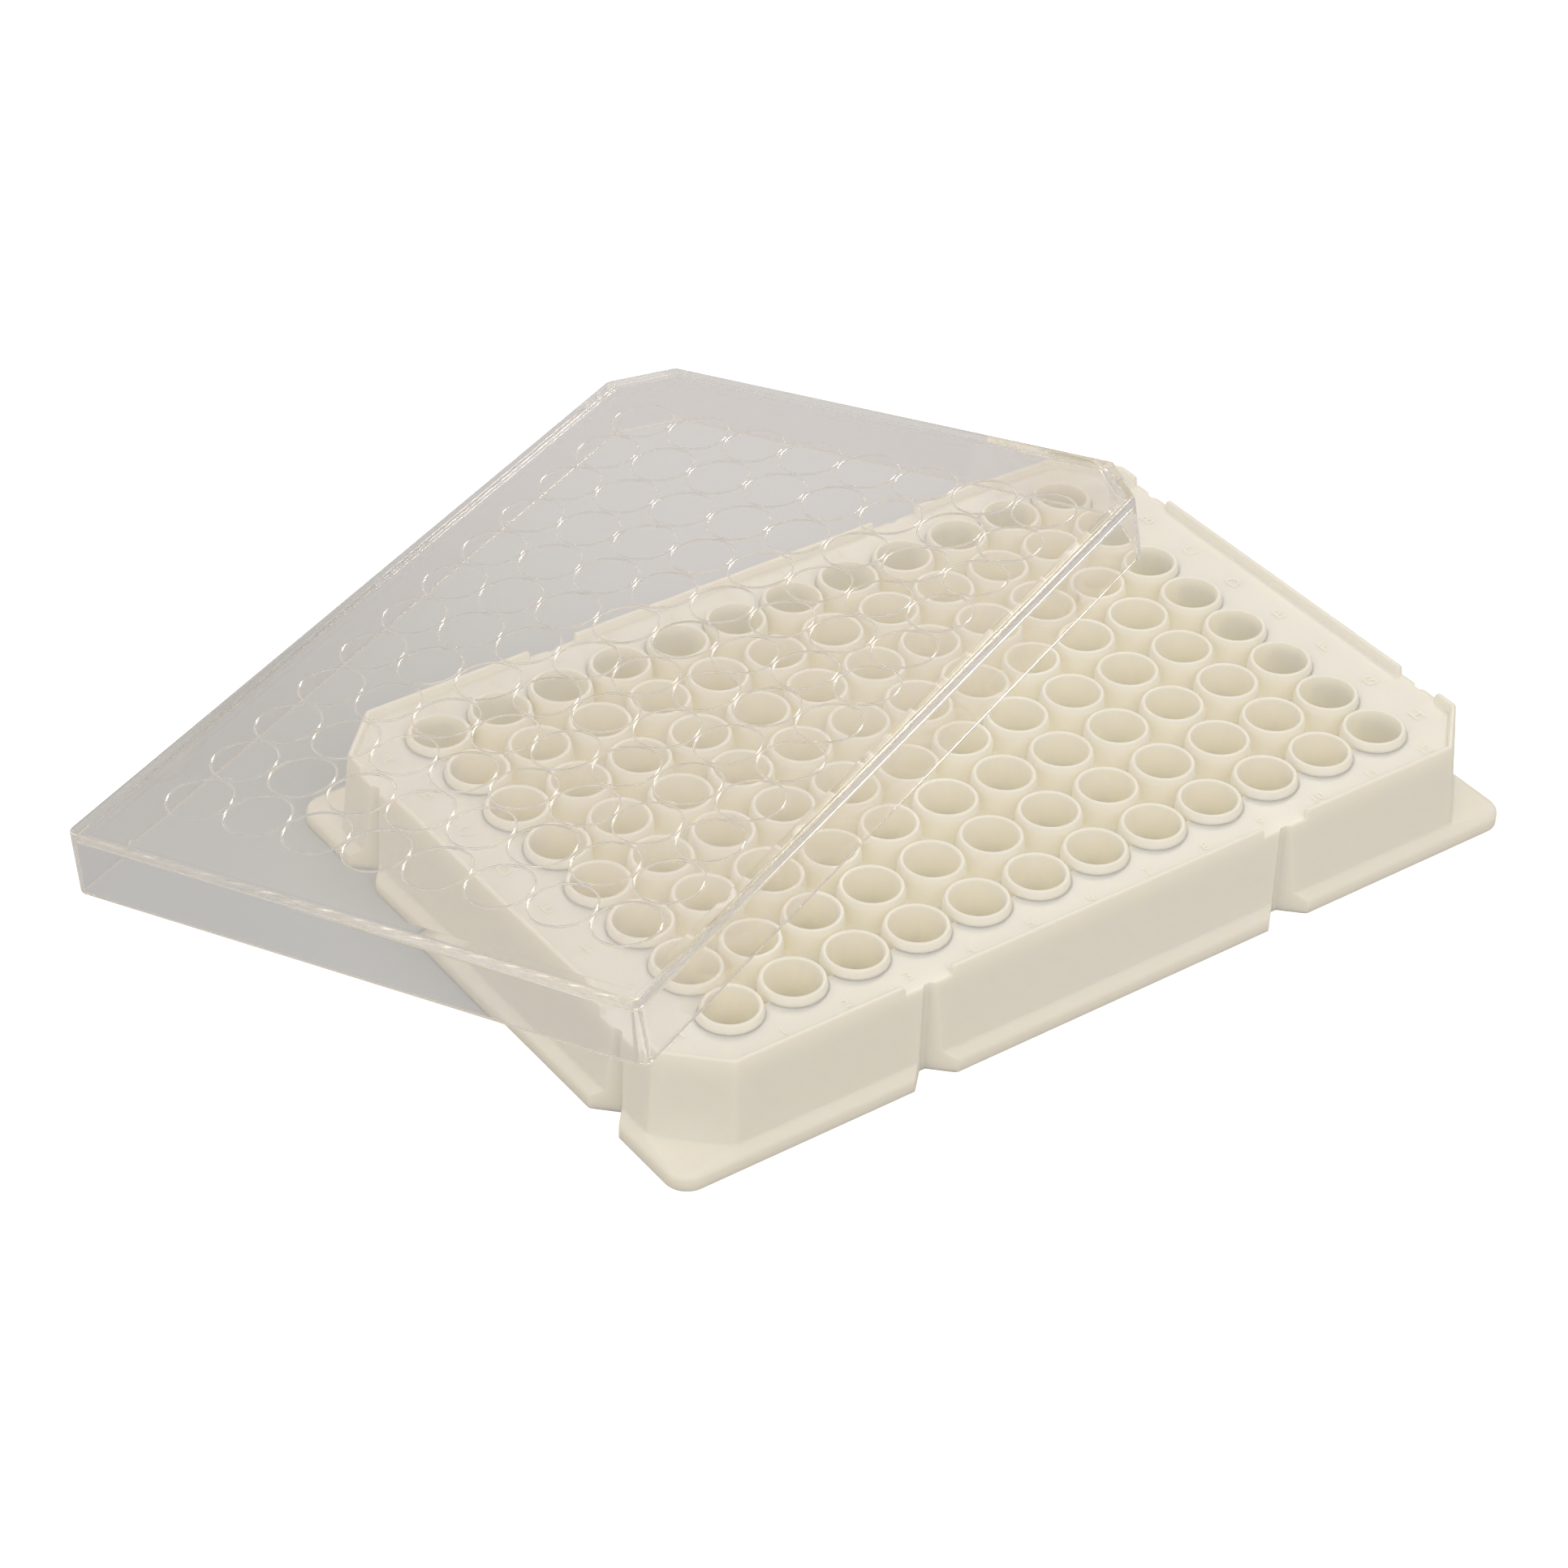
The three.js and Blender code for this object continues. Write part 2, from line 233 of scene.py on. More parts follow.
def plate_outline(inset, kind, depth=NOTCH_DEPTH, base=NOTCH_BASE):
    """Points (x, y, share of the lip's height) round the plate, counter-clockwise."""
    points = []
    for side in range(4):
        if kind == "flange":
            corner = round_corner(PLATE_LENGTH, PLATE_WIDTH, side, inset, FLANGE_RADIUS)
        else:
            leg = WALL_CHAMFER + SLANT * FLANGE_LEDGE
            corner = chamfer_corner(PLATE_LENGTH, PLATE_WIDTH, side, inset, leg)
        points += [(x, y, 1.0) for x, y in corner]
        on_long_side = side % 2 == 0
        offset = NOTCH_LONG if on_long_side else NOTCH_SHORT
        reach = (PLATE_WIDTH if on_long_side else PLATE_LENGTH) / 2
        turn = Matrix.Rotation(side * math.pi / 2, 2)
        for middle in (-offset, offset):
            for along, depth_in, share in notch_points(inset, depth, base):
                place = turn @ Vector((middle + along, depth_in - reach))
                points.append((place.x, place.y, share))
    return points


print("points in one loop of the plate:", len(plate_outline(0, "flange")))

# %% [markdown]
# ## The plate's frame
#
# The frame is the flange, the tapered wall, the thin lip and the deck inside it. It could
# be a box with bevels, but the real one shows a soft slope on the edge of the flange, a
# tight fillet at the foot of the wall and a fine bright line along the lip. Each of those
# is two to five loops here. Beside the notches the lip drops to the deck, so a loop's
# height follows the share that each point carries.

# %% Levels of the frame
FLANGE_EDGE = 0.9
FLANGE_SIDE = 1.45
FLANGE_SLOPE = math.radians(60)
FLANGE_STEPS = 5
FOOT_EDGE = 0.2
WALL_FILLET = 0.35
FILLET_STEPS = 4
WALL_BELOW_DECK = 0.6
LIP_EDGE = 0.22


def wall_inset(z):
    return FLANGE_LEDGE + WALL_TAPER * (z - FLANGE_HEIGHT) / (PLATE_HEIGHT - FLANGE_HEIGHT)


def flat_level(bm, inset, z, kind, **notch):
    return add_loop(bm, [(x, y, z) for x, y, _ in plate_outline(inset, kind, **notch)])


def lip_level(bm, beyond_wall, below_top, floor):
    """A loop near the lip. Where the lip is missing it lies on the deck."""
    low = plate_outline(wall_inset(DECK_HEIGHT) + beyond_wall, "wall")
    high = plate_outline(wall_inset(PLATE_HEIGHT) + beyond_wall, "wall")
    points = []
    for (x0, y0, share), (x1, y1, _) in zip(low, high):
        top = DECK_HEIGHT + DECK_DEPTH * share - below_top
        z = max(top, DECK_HEIGHT + floor * share) if floor is not None else top
        points.append((x0 + (x1 - x0) * share, y0 + (y1 - y0) * share, z))
    return add_loop(bm, points)


def outer_loops(bm):
    loops = [
        flat_level(bm, FOOT_EDGE, 0.0, "flange"),
        flat_level(bm, 0.3 * FOOT_EDGE, 0.3 * FOOT_EDGE, "flange"),
        flat_level(bm, 0.0, FOOT_EDGE, "flange"),
    ]
    for step in range(FLANGE_STEPS):
        angle = step / (FLANGE_STEPS - 1) * FLANGE_SLOPE
        inset = FLANGE_EDGE * (1 - math.cos(angle))
        z = FLANGE_SIDE + FLANGE_EDGE * math.sin(angle)
        loops.append(flat_level(bm, inset, z, "flange"))
    start = wall_inset(FLANGE_HEIGHT + WALL_FILLET) - WALL_FILLET
    for step in range(FILLET_STEPS):
        angle = step / (FILLET_STEPS - 1) * math.pi / 2
        inset = start + WALL_FILLET * math.sin(angle)
        z = FLANGE_HEIGHT + WALL_FILLET * (1 - math.cos(angle))
        loops.append(flat_level(bm, inset, z, "wall"))
    below_lip = DECK_HEIGHT - WALL_BELOW_DECK
    loops.append(flat_level(bm, wall_inset(below_lip), below_lip, "wall"))
    return loops


def lip_loops(bm):
    inner = LIP_THICKNESS
    return [
        lip_level(bm, 0.0, LIP_EDGE, None),
        lip_level(bm, 0.3 * LIP_EDGE, 0.3 * LIP_EDGE, None),
        lip_level(bm, LIP_EDGE, 0.0, None),
        lip_level(bm, inner - LIP_EDGE, 0.0, 0.0),
        lip_level(bm, inner - 0.3 * LIP_EDGE, 0.3 * LIP_EDGE, 0.0),
        lip_level(bm, inner, LIP_EDGE, 0.0),
        lip_level(bm, inner + 0.02, DECK_DEPTH, 0.25),
        lip_level(bm, inner + 0.09, DECK_DEPTH, 0.07),
        lip_level(bm, inner + 0.27, DECK_DEPTH, 0.0),
    ]

# %% [markdown]
# ## The opening in the deck
#
# The deck stops at the outer wells. Round each of them it follows the well's wall, and
# between two of them it ends in a short finger. On the real plate the deck rises a little
# where it meets a well. Here the same outline is drawn five times, each one nearer to the
# wells and a little higher, and the last one is hidden inside the wells' walls.

# %% Outline of the opening
WELL_OUTSIDE = 4.2
FINGER_END = 1.2
OPENING_STEPS = 14
# Away from the wells' wall, and up from the deck.
COLLAR = ((0.27, 0.0), (0.18, 0.02), (0.09, 0.06), (0.02, 0.10), (-0.06, 0.12))


def opening_points(away=0.0):
    radius = WELL_OUTSIDE + away
    swing = math.pi / 2 - math.asin((FINGER_END + away) / radius)
    half_x = (COLUMNS - 1) / 2 * PITCH
    half_y = (ROWS - 1) / 2 * PITCH
    points = []
    for side in range(4):
        count = COLUMNS if side % 2 == 0 else ROWS
        turn = Matrix.Rotation(side * math.pi / 2, 2)
        half_along = half_x if side % 2 == 0 else half_y
        half_out = half_y if side % 2 == 0 else half_x
        outward = -math.pi / 2
        for index in range(count - 1):
            start = outward - swing - (math.pi / 2 if index == 0 else 0)
            end = outward + swing
            steps = OPENING_STEPS * 2 if index == 0 else OPENING_STEPS
            for step in range(steps + 1):
                angle = start + (end - start) * step / steps
                x = -half_along + index * PITCH + radius * math.cos(angle)
                y = -half_out + radius * math.sin(angle)
                place = turn @ Vector((x, y))
                points.append((place.x, place.y))
    return points


print("points round the opening:", len(opening_points()))

# %% [markdown]
# ## One body for the frame
#
# The loops run up the outside, over the lip and in to the opening. The inside of the wall
# is a second pair of loops that goes back down to the foot. A notch has plastic behind it
# too, so on the inside it is deeper and wider by the thickness of that backing.

# %% Build the frame
BACKING_SPREAD = 0.83


def build_frame():
    bm = bmesh.new()
    loops = outer_loops(bm) + lip_loops(bm)
    join_all(bm, loops)
    backing = {
        "depth": NOTCH_DEPTH + NOTCH_BACKING,
        "base": NOTCH_BASE + BACKING_SPREAD * NOTCH_BACKING,
    }
    ceiling = DECK_HEIGHT - DECK_THICKNESS
    inner_foot = flat_level(bm, wall_inset(0) + WALL_THICKNESS, 0.0, "wall", **backing)
    inner_top = flat_level(bm, wall_inset(ceiling) + WALL_THICKNESS, ceiling, "wall", **backing)
    join_all(bm, [inner_top, inner_foot, loops[0]])
    collar = []
    for away, rise in COLLAR:
        z = DECK_HEIGHT + rise
        collar.append(add_loop(bm, [(x, y, z) for x, y in opening_points(away)]))
    lower = add_loop(bm, [(x, y, ceiling) for x, y in opening_points()])
    join_all(bm, collar + [lower])
    fill_between(bm, loops[-1], collar[0])
    fill_between(bm, inner_top, lower)
    return finish_mesh(bm, "frame_moulding", TO_PLATE)


frame_piece = build_frame()

# %% [markdown]
# ## Wells
#
# A well is a turned shape: a wall that narrows towards a rounded rim, a bore that narrows
# towards the floor, and a small round where the bore meets the floor. It could be spun
# with a screw modifier, but then twelve wells would still have to be joined to the web
# that holds them. Here each well sits in a square tile. The tile's edge has as many points
# as the circle, so a row is one closed body with no cut. Below its rim a well stands free
# of its neighbours. The web joins them a few millimetres down, and each wall runs out to
# it in a soft curve, so that four wells leave a small pit between them. Under the web the
# wells go on as plain tubes.

# %% Well profile
WELL_STEPS = 48
BORE_TOP = 3.45
BORE_BOTTOM = 3.2
WELL_DEPTH = 10.9
WELL_FLOOR = 1.2
WEB_DEPTH = 4.5
WEB_THICKNESS = 1.0
RIM = PLATE_HEIGHT
FLOOR_TOP = RIM - WELL_DEPTH
WELL_BOTTOM = FLOOR_TOP - WELL_FLOOR
WEB_LOW = RIM - WEB_DEPTH
WEB_BOTTOM = WEB_LOW - WEB_THICKNESS
SHOULDER_RADIUS = 4.22
SHOULDER_REACH = 0.5
SHOULDER_RISE = 0.8
SHOULDER_SHARES = (1.0, 0.8, 0.6, 0.4, 0.2, 0.0)
WELL_PROFILE = [
    (4.19, RIM - 3.45),
    (4.19, RIM - 1.00),
    (4.15, RIM - 0.70),
    (4.07, RIM - 0.42),
    (4.02, RIM - 0.22),
    (4.00, RIM - 0.12),
    (3.93, RIM - 0.03),
    (3.85, RIM),
    (3.58, RIM),
    (3.50, RIM - 0.03),
    (3.45, RIM - 0.10),
    (3.43, RIM - 0.25),
    (BORE_BOTTOM, FLOOR_TOP + 0.80),
    (BORE_BOTTOM - 0.06, FLOOR_TOP + 0.50),
    (BORE_BOTTOM - 0.24, FLOOR_TOP + 0.20),
    (BORE_BOTTOM - 0.50, FLOOR_TOP + 0.05),
    (BORE_BOTTOM - 0.85, FLOOR_TOP),
    (1.20, FLOOR_TOP),
]
TUBE_PROFILE = [
    (4.45, WEB_BOTTOM),
    (4.28, WEB_BOTTOM - 0.05),
    (4.20, WEB_BOTTOM - 0.25),
    (4.00, WELL_BOTTOM + 0.25),
    (3.93, WELL_BOTTOM + 0.05),
    (3.75, WELL_BOTTOM),
    (3.00, WELL_BOTTOM),
    (2.90, WELL_BOTTOM + 0.10),
]


def ring(bm, middle, radius, z):
    points = []
    for step in range(WELL_STEPS):
        angle = 2 * math.pi * step / WELL_STEPS
        x = middle[0] + radius * math.cos(angle)
        points.append((x, middle[1] + radius * math.sin(angle), z))
    return add_loop(bm, points)


def tile_edge(bm, middle, z):
    """Points on the square round a well, each on the same ray as a point of the ring."""
    points = []
    for step in range(WELL_STEPS):
        angle = 2 * math.pi * step / WELL_STEPS
        cos, sin = math.cos(angle), math.sin(angle)
        reach = PITCH / 2 / max(abs(cos), abs(sin))
        points.append((middle[0] + reach * cos, middle[1] + reach * sin, z))
    return add_loop(bm, points)


def shoulder(bm, middle, share):
    """Between the foot of a well (share 0) and its tile's edge (share 1)."""
    points = []
    for step in range(WELL_STEPS):
        angle = 2 * math.pi * step / WELL_STEPS
        cos, sin = math.cos(angle), math.sin(angle)
        edge = PITCH / 2 / max(abs(cos), abs(sin))
        reach = SHOULDER_RADIUS + (edge - SHOULDER_RADIUS) * share
        fall = math.exp((SHOULDER_RADIUS - reach) / SHOULDER_REACH)
        z = WEB_LOW + SHOULDER_RISE * fall
        points.append((middle[0] + reach * cos, middle[1] + reach * sin, z))
    return add_loop(bm, points)


def cap(bm, loop):
    bm.faces.new(loop)


def close_sides(bm):
    """Walls between the free edges of the web's top and of its underside."""
    bmesh.ops.remove_doubles(bm, verts=bm.verts, dist=JOIN_DISTANCE)
    free = [edge for edge in bm.edges if edge.is_boundary]
    bmesh.ops.bridge_loops(bm, edges=free)


def build_row(letter, index):
    bm = bmesh.new()
    y = (index - (ROWS - 1) / 2) * PITCH
    for column in range(COLUMNS):
        middle = ((column - (COLUMNS - 1) / 2) * PITCH, y)
        rings = [shoulder(bm, middle, share) for share in SHOULDER_SHARES]
        rings += [ring(bm, middle, radius, z) for radius, z in WELL_PROFILE]
        join_all(bm, rings)
        cap(bm, rings[-1])
        under = [tile_edge(bm, middle, WEB_BOTTOM)]
        under += [ring(bm, middle, radius, z) for radius, z in TUBE_PROFILE]
        join_all(bm, under)
        cap(bm, under[-1])
    close_sides(bm)
    return finish_mesh(bm, "wells_row_" + letter, TO_PLATE)


ROW_LETTERS = "HGFEDCBA"
rows = {letter: build_row(letter, index) for index, letter in enumerate(ROW_LETTERS)}

# %% [markdown]
# ## Letters and numbers on the deck
#
# The deck carries faint raised letters for the rows and numbers for the columns, so that a
# well can be named. They are plain text turned into one mesh. They stand a few hundredths
# of a millimetre proud, which is enough to catch the light.

# %% Raised characters
CHARACTER_RISE = 0.07
CHARACTER_SINK = 0.01
NUMBER_SIZE = 2.1
NUMBER_INSET = 5.05
NUMBER_SHIFT = 0.36 * PITCH
LETTER_SIZE = 2.7
LETTER_INSET = 6.9


def character(text, size, x, y):
    curve = bpy.data.curves.new("character", "FONT")
    curve.body = text
    curve.size = size
    curve.align_x = "CENTER"
    curve.align_y = "CENTER"
    curve.extrude = CHARACTER_RISE / 2
    curve.resolution_u = 3
    holder = bpy.data.objects.new("character", curve)
    bpy.context.scene.collection.objects.link(holder)
    bpy.context.view_layer.update()
    evaluated = holder.evaluated_get(bpy.context.evaluated_depsgraph_get())
    mesh = bpy.data.meshes.new_from_object(evaluated)
    z = DECK_HEIGHT + CHARACTER_RISE / 2 - CHARACTER_SINK
    mesh.transform(Matrix.Translation((x, y, z)))
    bpy.data.objects.remove(holder)
    bpy.data.curves.remove(curve)
    return mesh


def build_characters():
    bm = bmesh.new()
    number_y = PLATE_WIDTH / 2 - NUMBER_INSET
    letter_x = PLATE_LENGTH / 2 - LETTER_INSET
    wanted = []
    for column in range(COLUMNS):
        x = (column - (COLUMNS - 1) / 2) * PITCH + NUMBER_SHIFT
        wanted.append((str(column + 1), NUMBER_SIZE, x, -number_y))
        wanted.append((str(column + 1), NUMBER_SIZE, x, number_y))
    for index, letter in enumerate(ROW_LETTERS):
        y = (index - (ROWS - 1) / 2) * PITCH
        wanted.append((letter, LETTER_SIZE, -letter_x, y))
        wanted.append((letter, LETTER_SIZE, letter_x, y))
    for text, size, x, y in wanted:
        mesh = character(text, size, x, y)
        bm.from_mesh(mesh)
        bpy.data.meshes.remove(mesh)
    bmesh.ops.remove_doubles(bm, verts=bm.verts, dist=JOIN_DISTANCE)
    return finish_mesh(bm, "deck_characters", TO_PLATE)


characters = build_characters()

# %% [markdown]
# ## The lid's own frame
#
# The lid leans on three points of the plate, so none of its faces is level. Its mesh is
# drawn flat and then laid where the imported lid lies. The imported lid's largest face gives
# its upward direction, and the long side of its skirt gives the other two.

# %% Where the lid lies
def lid_place():
    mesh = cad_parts["lid"].data
    areas = {}
    for polygon in mesh.polygons:
        key = tuple(round(value, 2) for value in polygon.normal)
        areas[key] = areas.get(key, Vector((0, 0, 0))) + polygon.normal * polygon.area
    ranked = sorted(areas.values(), key=lambda total: -total.length)
    up = next(total for total in ranked if total.z > 0.7 * total.length).normalized()
    across = next(total for total in ranked if abs(total.dot(up)) < 0.2 * total.length)
    across = (across - up * across.dot(up)).normalized()
    across = across if across.y > 0 else -across
    along = across.cross(up)
    points = [vert.co for vert in mesh.vertices]
    spans = []
    for axis in (along, across, up):
        reach = [point.dot(axis) for point in points]
        spans.append((min(reach), max(reach)))
    middle = [(low + high) / 2 for low, high in spans]
    origin = along * middle[0] + across * middle[1] + up * spans[2][0]
    place = Matrix((along, across, up)).transposed().to_4x4()
    place.translation = origin
    return place @ Matrix.Scale(MM, 4), [(high - low) / MM for low, high in spans]


TO_LID, lid_size = lid_place()
LID_LENGTH, LID_WIDTH, LID_HEIGHT = lid_size
print("lid, mm:", [round(value, 2) for value in lid_size])

# %% [markdown]
# ## The lid
#
# The lid is a thin panel with a skirt. A raised band runs round its top edge, so that
# plates can be stacked, and the underside carries a fine ring over each well that keeps
# drops of condensation from running together. Clear plastic shows all of its edges at
# once, so the rounds, the fillets and the rings matter more here than on the plate. The
# two corners at one short side are chamfered, so the lid only fits one way round.

# %% Lid outline
LID_TAPER = 0.3
LID_WALL = 1.0
PANEL_THICKNESS = 1.2
BAND_WIDTH = 2.0
BAND_HEIGHT = 0.4
LID_CHAMFER = 7.2
LID_ROUND = 1.5
PANEL_TOP = LID_HEIGHT - BAND_HEIGHT
PANEL_UNDERSIDE = PANEL_TOP - PANEL_THICKNESS


def lid_level(bm, z, beyond_skirt):
    inset = LID_TAPER * z / LID_HEIGHT + beyond_skirt
    points = round_corner(LID_LENGTH, LID_WIDTH, 0, inset, LID_ROUND)
    points += chamfer_corner(LID_LENGTH, LID_WIDTH, 1, inset, LID_CHAMFER)
    points += chamfer_corner(LID_LENGTH, LID_WIDTH, 2, inset, LID_CHAMFER)
    points += round_corner(LID_LENGTH, LID_WIDTH, 3, inset, LID_ROUND)
    return add_loop(bm, [(x, y, z) for x, y in points])

# %% [markdown]
# ## The lid's levels
#
# Each level is a height and a distance in from the skirt's outer face. The edges have
# small rounds, since a moulded edge is never sharp and a round one draws a bright line.
# The rings are only a quarter of a millimetre high, and they hang from tiles like those
# under the wells.

# %% Lid levels and rings
# Height, and distance in from the outside of the skirt.
LID_OUTSIDE = [
    (0.0, 0.16),
    (0.04, 0.05),
    (0.15, 0.0),
    (LID_HEIGHT - 0.40, 0.0),
    (LID_HEIGHT - 0.27, 0.03),
    (LID_HEIGHT - 0.12, 0.13),
    (LID_HEIGHT - 0.03, 0.26),
    (LID_HEIGHT, 0.40),
    (LID_HEIGHT, BAND_WIDTH - 0.16),
    (LID_HEIGHT - 0.05, BAND_WIDTH - 0.04),
    (LID_HEIGHT - 0.15, BAND_WIDTH),
    (PANEL_TOP + 0.10, BAND_WIDTH + 0.03),
    (PANEL_TOP + 0.03, BAND_WIDTH + 0.07),
    (PANEL_TOP, BAND_WIDTH + 0.16),
]
LID_INSIDE = [
    (PANEL_UNDERSIDE, LID_WALL + 0.40),
    (PANEL_UNDERSIDE - 0.05, LID_WALL + 0.20),
    (PANEL_UNDERSIDE - 0.20, LID_WALL + 0.05),
    (PANEL_UNDERSIDE - 0.40, LID_WALL),
    (0.05, LID_WALL),
    (0.0, LID_WALL - 0.04),
]
# Radius, and distance down from the panel.
RING_PROFILE = [
    (4.40, 0.0),
    (4.37, 0.17),
    (4.30, 0.24),
    (4.22, 0.24),
    (4.15, 0.17),
    (4.12, 0.0),
]


def ring_field(bm):
    """The underside over the wells: one tile for each well, with a fine ring on it."""
    for row in range(ROWS):
        for column in range(COLUMNS):
            x = (column - (COLUMNS - 1) / 2) * PITCH
            y = (row - (ROWS - 1) / 2) * PITCH
            loops = [tile_edge(bm, (x, y), PANEL_UNDERSIDE)]
            for radius, drop in RING_PROFILE:
                loops.append(ring(bm, (x, y), radius, PANEL_UNDERSIDE - drop))
            join_all(bm, loops)
            cap(bm, loops[-1])


def boundary_loop(bm):
    """The free edge round the field of tiles, in order."""
    free = [edge for edge in bm.edges if edge.is_boundary]
    start = free[0].verts[0]
    loop = [start]
    seen = set()
    while True:
        edge = next((e for e in loop[-1].link_edges if e.is_boundary and e not in seen), None)
        if edge is None:
            break
        seen.add(edge)
        other = edge.other_vert(loop[-1])
        if other is start:
            break
        loop.append(other)
    return loop


def build_lid():
    bm = bmesh.new()
    ring_field(bm)
    bmesh.ops.remove_doubles(bm, verts=bm.verts, dist=JOIN_DISTANCE)
    field_edge = boundary_loop(bm)
    inside = [lid_level(bm, z, beyond) for z, beyond in LID_INSIDE]
    outside = [lid_level(bm, z, beyond) for z, beyond in LID_OUTSIDE]
    join_all(bm, inside + outside)
    cap(bm, outside[-1])
    fill_between(bm, inside[0], field_edge)
    return finish_mesh(bm, "lid_moulding", TO_LID)


lid_piece = build_lid()

# %% [markdown]
# ## Ivory polystyrene
#
# The plate is white plastic with a warm cast. A well looks yellower than the deck because
# light bounces from wall to wall inside it, so a high, slightly warm base colour is enough
# and nothing is painted into the bores. Light also travels a little way into the plastic,
# which softens the rims. Slow noise varies the colour and the gloss as on a real moulding,
# and a fine one gives the surface its faint texture.

# %% Helpers for finishes
def new_material(name):
    material = bpy.data.materials.new(name)
    material.use_nodes = True
    nodes = material.node_tree.nodes
    shader = next(node for node in nodes if node.type == "BSDF_PRINCIPLED")
    return material, nodes, material.node_tree.links, shader


def add_noise(nodes, links, scale, detail):
    where = nodes.new("ShaderNodeTexCoord")
    noise = nodes.new("ShaderNodeTexNoise")
    noise.inputs["Scale"].default_value = scale
    noise.inputs["Detail"].default_value = detail
    links.new(where.outputs["Object"], noise.inputs["Vector"])
    return noise


def add_ramp(nodes, links, source, low, high):
    ramp = nodes.new("ShaderNodeValToRGB")
    ramp.color_ramp.elements[0].position = 0.3
    ramp.color_ramp.elements[1].position = 0.7
    ramp.color_ramp.elements[0].color = low
    ramp.color_ramp.elements[1].color = high
    links.new(source, ramp.inputs["Fac"])
    return ramp


def add_range(nodes, links, source, low, high):
    spread = nodes.new("ShaderNodeMapRange")
    spread.inputs["From Min"].default_value = 0.3
    spread.inputs["From Max"].default_value = 0.7
    spread.inputs["To Min"].default_value = low
    spread.inputs["To Max"].default_value = high
    links.new(source, spread.inputs["Value"])
    return spread


def add_bump(nodes, links, source, strength, distance, shader):
    bump = nodes.new("ShaderNodeBump")
    bump.inputs["Strength"].default_value = strength
    bump.inputs["Distance"].default_value = distance
    links.new(source, bump.inputs["Height"])
    links.new(bump.outputs["Normal"], shader.inputs["Normal"])


# %% Ivory plastic
IVORY_DEEP = (0.972, 0.955, 0.893, 1.0)
IVORY_PALE = (0.982, 0.969, 0.914, 1.0)
LIGHT_REACH = 0.002


def ivory_plastic(name, depth):
    """The plate's plastic. The depth is how far light travels in it, in metres."""
    material, nodes, links, shader = new_material(name)
    cloud = add_noise(nodes, links, 38.0, 3.0)
    colour = add_ramp(nodes, links, cloud.outputs["Fac"], IVORY_DEEP, IVORY_PALE)
    links.new(colour.outputs["Color"], shader.inputs["Base Color"])
    gloss = add_range(nodes, links, cloud.outputs["Fac"], 0.36, 0.46)
    links.new(gloss.outputs["Result"], shader.inputs["Roughness"])
    grain = add_noise(nodes, links, 2600.0, 2.0)
    add_bump(nodes, links, grain.outputs["Fac"], 0.10, 0.00006, shader)
    shader.inputs["IOR"].default_value = 1.5
    shader.inputs["Specular IOR Level"].default_value = 0.4
    if depth:
        shader.inputs["Subsurface Weight"].default_value = 0.7
        shader.inputs["Subsurface Radius"].default_value = (1.0, 0.85, 0.6)
        shader.inputs["Subsurface Scale"].default_value = depth
    return material


ivory = ivory_plastic("ivory_polystyrene", LIGHT_REACH)
for piece in (frame_piece, *rows.values()):
    piece.data.materials.append(ivory)
characters.data.materials.append(ivory_plastic("ivory_polystyrene_thin", 0.0))
print("ivory pieces:", 2 + len(rows))

# %% [markdown]
# ## Clear polystyrene
#
# The lid is crystal polystyrene, which bends light more than glass does. A glass shader
# with its real refractive index makes the bright and dark lines at the edges by itself. A
# faint grey cast, a trace of haze and shallow waves from the mould keep it from looking
# like empty air. Lamps can't be aimed at through a glass shader, so what lies under the
# lid would turn nearly black. For the light on its way down the lid is therefore a plain
# tinted sheet.

# %% Clear plastic
CLEAR_TINT = (0.965, 0.95, 0.955, 1.0)
CLEAR_INDEX = 1.59
SHEET_TINT = (0.995, 0.995, 0.995, 1.0)


def add_switch(nodes, links, share, first, second):
    """The surface is the first shader, or the second where the share is 1."""
    either = nodes.new("ShaderNodeMixShader")
    links.new(share, either.inputs["Fac"])
    links.new(first, either.inputs[1])
    links.new(second, either.inputs[2])
    surface = next(node for node in nodes if node.type == "OUTPUT_MATERIAL")
    links.new(either.outputs["Shader"], surface.inputs["Surface"])


def clear_plastic():
    material, nodes, links, shader = new_material("clear_polystyrene")
    haze = add_noise(nodes, links, 55.0, 4.0)
    gloss = add_range(nodes, links, haze.outputs["Fac"], 0.015, 0.05)
    links.new(gloss.outputs["Result"], shader.inputs["Roughness"])
    wave = add_noise(nodes, links, 45.0, 0.0)
    add_bump(nodes, links, wave.outputs["Fac"], 0.012, 0.0004, shader)
    shader.inputs["Base Color"].default_value = CLEAR_TINT
    shader.inputs["IOR"].default_value = CLEAR_INDEX
    shader.inputs["Transmission Weight"].default_value = 1.0
    sheet = nodes.new("ShaderNodeBsdfTransparent")
    sheet.inputs["Color"].default_value = SHEET_TINT
    path = nodes.new("ShaderNodeLightPath")
    lighting = nodes.new("ShaderNodeMath")
    lighting.operation = "MAXIMUM"
    links.new(path.outputs["Is Shadow Ray"], lighting.inputs[0])
    links.new(path.outputs["Is Diffuse Ray"], lighting.inputs[1])
    glass = shader.outputs["BSDF"]
    add_switch(nodes, links, lighting.outputs["Value"], glass, sheet.outputs["BSDF"])
    return material


lid_piece.data.materials.append(clear_plastic())
print("clear pieces:", 1)

# %% [markdown]
# ## Put the pieces on their bodies
#
# The imported model has two bodies, the plate and the lid. Every new piece rides on one of
# them and stands for the nodes it was drawn from.

# %% Bodies and stand-ins
for piece in (frame_piece, characters, *rows.values()):
    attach(piece, "plate")
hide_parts("plate_frame")
for letter, piece in rows.items():
    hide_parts("well_row_" + letter)
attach(lid_piece, "lid")
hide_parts("lid")
